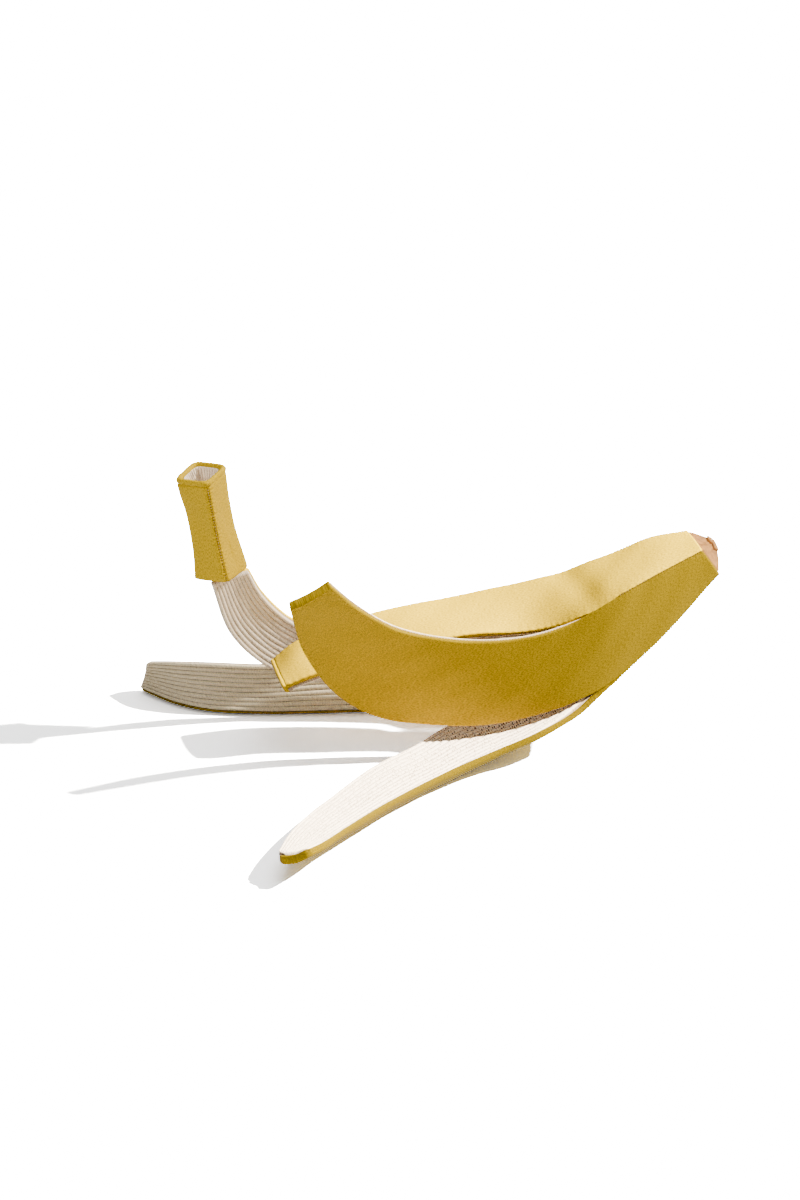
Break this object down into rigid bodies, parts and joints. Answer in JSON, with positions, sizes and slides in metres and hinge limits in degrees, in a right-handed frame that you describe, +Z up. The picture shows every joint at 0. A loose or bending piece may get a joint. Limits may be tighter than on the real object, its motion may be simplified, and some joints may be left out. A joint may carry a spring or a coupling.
{
  "type": "banana peel",
  "caption": "Opened banana peel sewn from padded golden satin, with a cream corded lining, a square stem sleeve and a folded tan leather blossom end.",
  "frame": {"origin": "middle of the peel's box at its lowest point, on the surface that it lies on", "axes": "+X along the peel's length from the free ends to the blossom end, +Y away from the front strip, +Z up"},
  "size_m": [0.3828, 0.2952, 0.1869],
  "materials": {
    "satin_front": "satin",
    "satin_top": "satin",
    "satin_stem_strip": "satin",
    "satin_back": "satin",
    "satin_bottom": "satin",
    "satin_stem": "satin",
    "satin_gusset": "satin",
    "lining_front": "matte",
    "lining_top": "matte",
    "lining_stem_strip": "matte",
    "lining_back": "matte",
    "lining_bottom": "matte",
    "lining_stem": "matte",
    "leather_tip": "matte"
  },
  "bodies": {
    "root": {"satin_a": "satin_front", "satin_b": "satin_top", "satin_c": "satin_stem_strip", "satin_d": "satin_back", "satin_e": "satin_bottom", "stem_sleeve": "satin_stem", "stem_gusset": "satin_gusset", "lining_a": "lining_front", "lining_b": "lining_top", "lining_c": "lining_stem_strip", "lining_d": "lining_back", "lining_e": "lining_bottom", "stem_lining": "lining_stem", "tip_cap": "leather_tip"}
  },
  "joints": []
}
